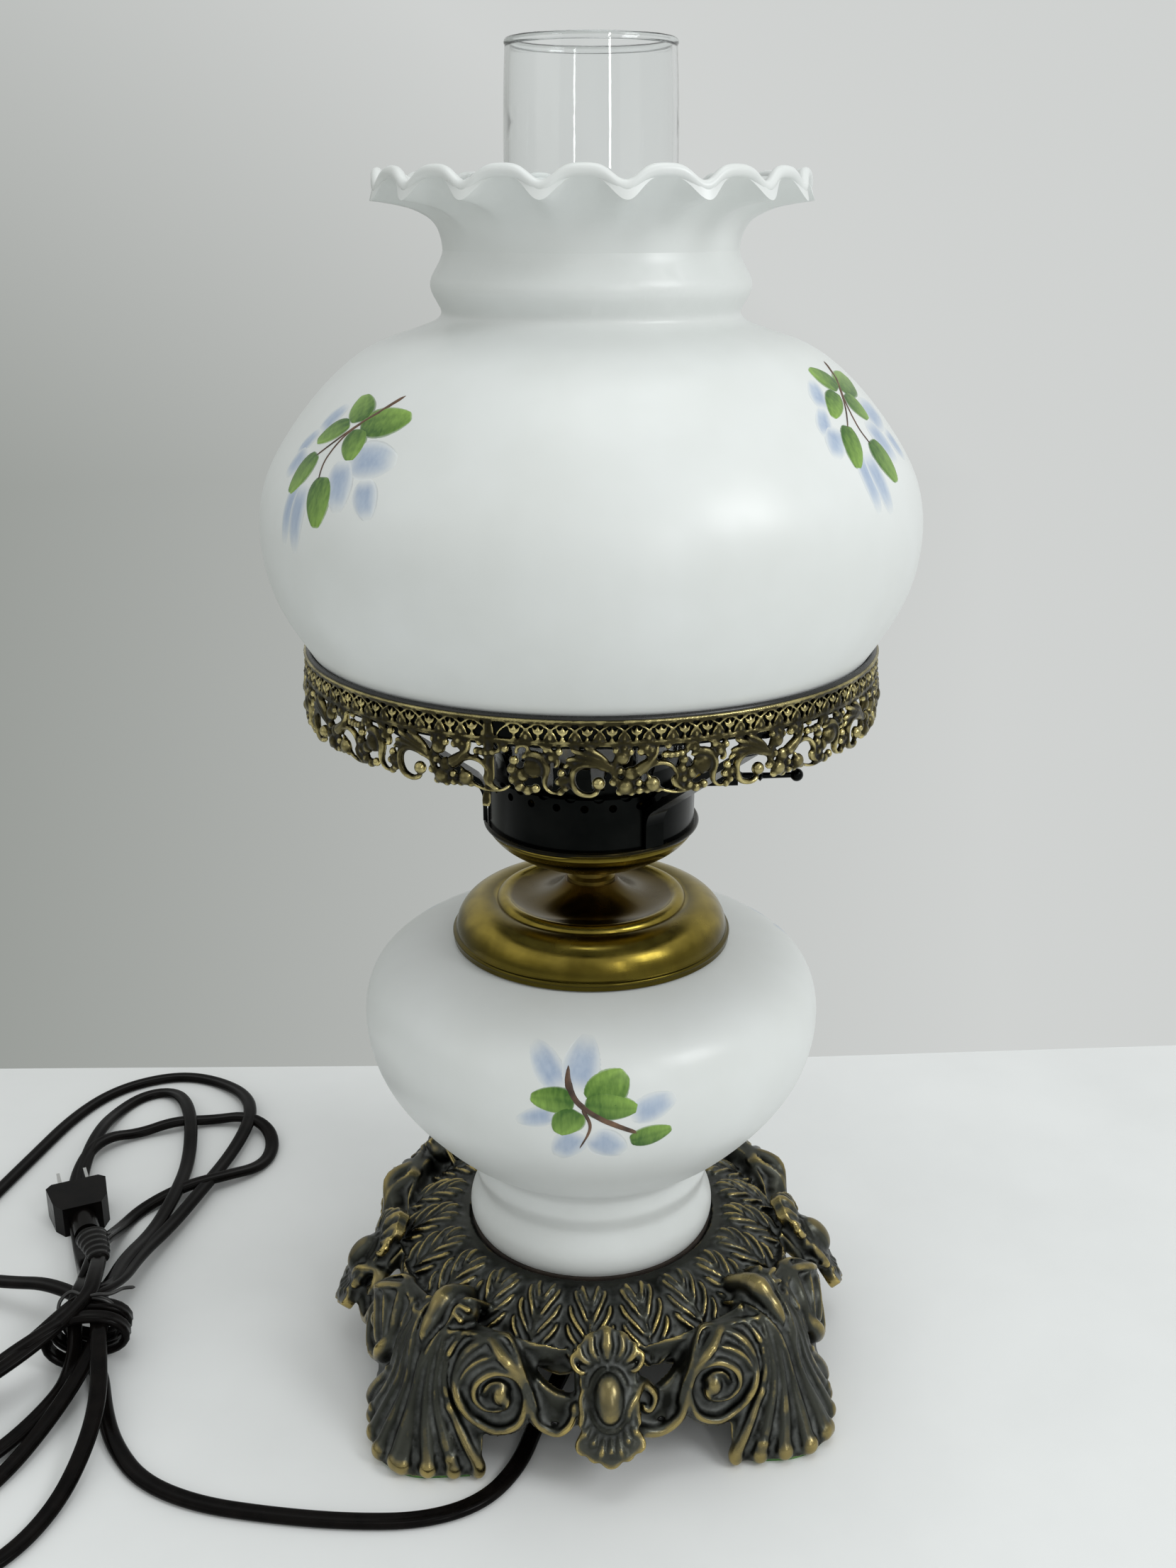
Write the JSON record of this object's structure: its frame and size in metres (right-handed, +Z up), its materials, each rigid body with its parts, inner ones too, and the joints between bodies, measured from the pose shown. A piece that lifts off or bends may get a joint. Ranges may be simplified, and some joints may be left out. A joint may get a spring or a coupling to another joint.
{
  "type": "parlour lamp",
  "caption": "Electrified parlour lamp: opal glass font and ruffled shade, clear chimney, pierced gallery, pierced cast foot, turn key, flat cord with plug in a tied hank.",
  "frame": {"origin": "on the floor, on the lamp's own axis", "axes": "+Z up along the lamp's axis, +X along the turn key, the cord's hank lies towards -X"},
  "size_m": [0.421, 0.3724, 0.5125],
  "materials": {
    "casting": "antique bronze patina, rubbed gold on the raised forms",
    "felt": "green felt",
    "steel": "zinc-plated",
    "opal_glass": "satin opal white",
    "antique_brass": "antique brass",
    "dark_brass": "dark patina",
    "fibre": "fibre card",
    "phenolic": "moulded insulator",
    "thread_brass": "bright brass",
    "bulb_metal": "bright",
    "bulb_glass": "frosted",
    "clear_glass": "clear, fire polished",
    "cord": "brown flexible plastic",
    "tie": "black, plastic over wire"
  },
  "bodies": {
    "lamp": {"base_casting": "casting", "felt_pads": "felt", "base_washer": "steel", "base_nut": "steel", "threaded_rod": "steel", "font_gasket": "felt", "font": "opal_glass", "font_cap": "antique_brass", "neck": "antique_brass", "burner_bowl": "antique_brass", "burner_collar": "dark_brass", "chimney_holder": "dark_brass", "socket_cap": "antique_brass", "socket_shell": "antique_brass", "socket_liner": "fibre", "socket_body": "phenolic", "screw_shell": "thread_brass", "centre_contact": "thread_brass", "key_bushing": "antique_brass", "cord_bushing": "phenolic", "inner_lead": "cord", "cord_run": "cord", "cord_hank": "cord", "plug_body": "cord", "plug_blades": "thread_brass", "twist_tie": "tie"},
    "shade_holder": {"shade_ring": "dark_brass", "gallery_band": "antique_brass", "tripod_arms": "dark_brass", "arm_rivets": "dark_brass"},
    "shade": {"shade": "opal_glass"},
    "chimney": {"chimney": "clear_glass"},
    "bulb": {"bulb_cap": "bulb_metal", "bulb_glass": "bulb_glass"},
    "turn_key": {"turn_key": "antique_brass"}
  },
  "joints": [
    {"name": "holder_lift", "type": "slide", "parent": "lamp", "child": "shade_holder", "axis": [0, 0, 1], "range_m": [0, 0.28]},
    {"name": "shade_lift", "type": "slide", "parent": "shade_holder", "child": "shade", "axis": [0, 0, 1], "range_m": [0, 0.22]},
    {"name": "chimney_lift", "type": "slide", "parent": "lamp", "child": "chimney", "axis": [0, 0, 1], "range_m": [0, 0.26]},
    {"name": "bulb_out", "type": "slide", "parent": "lamp", "child": "bulb", "axis": [0, 0, 1], "range_m": [0, 0.024]},
    {"name": "key_turn", "type": "hinge", "parent": "lamp", "child": "turn_key", "pos_m": [0.06, 0, 0.251], "axis": [1, 0, 0], "continuous": true}
  ]
}
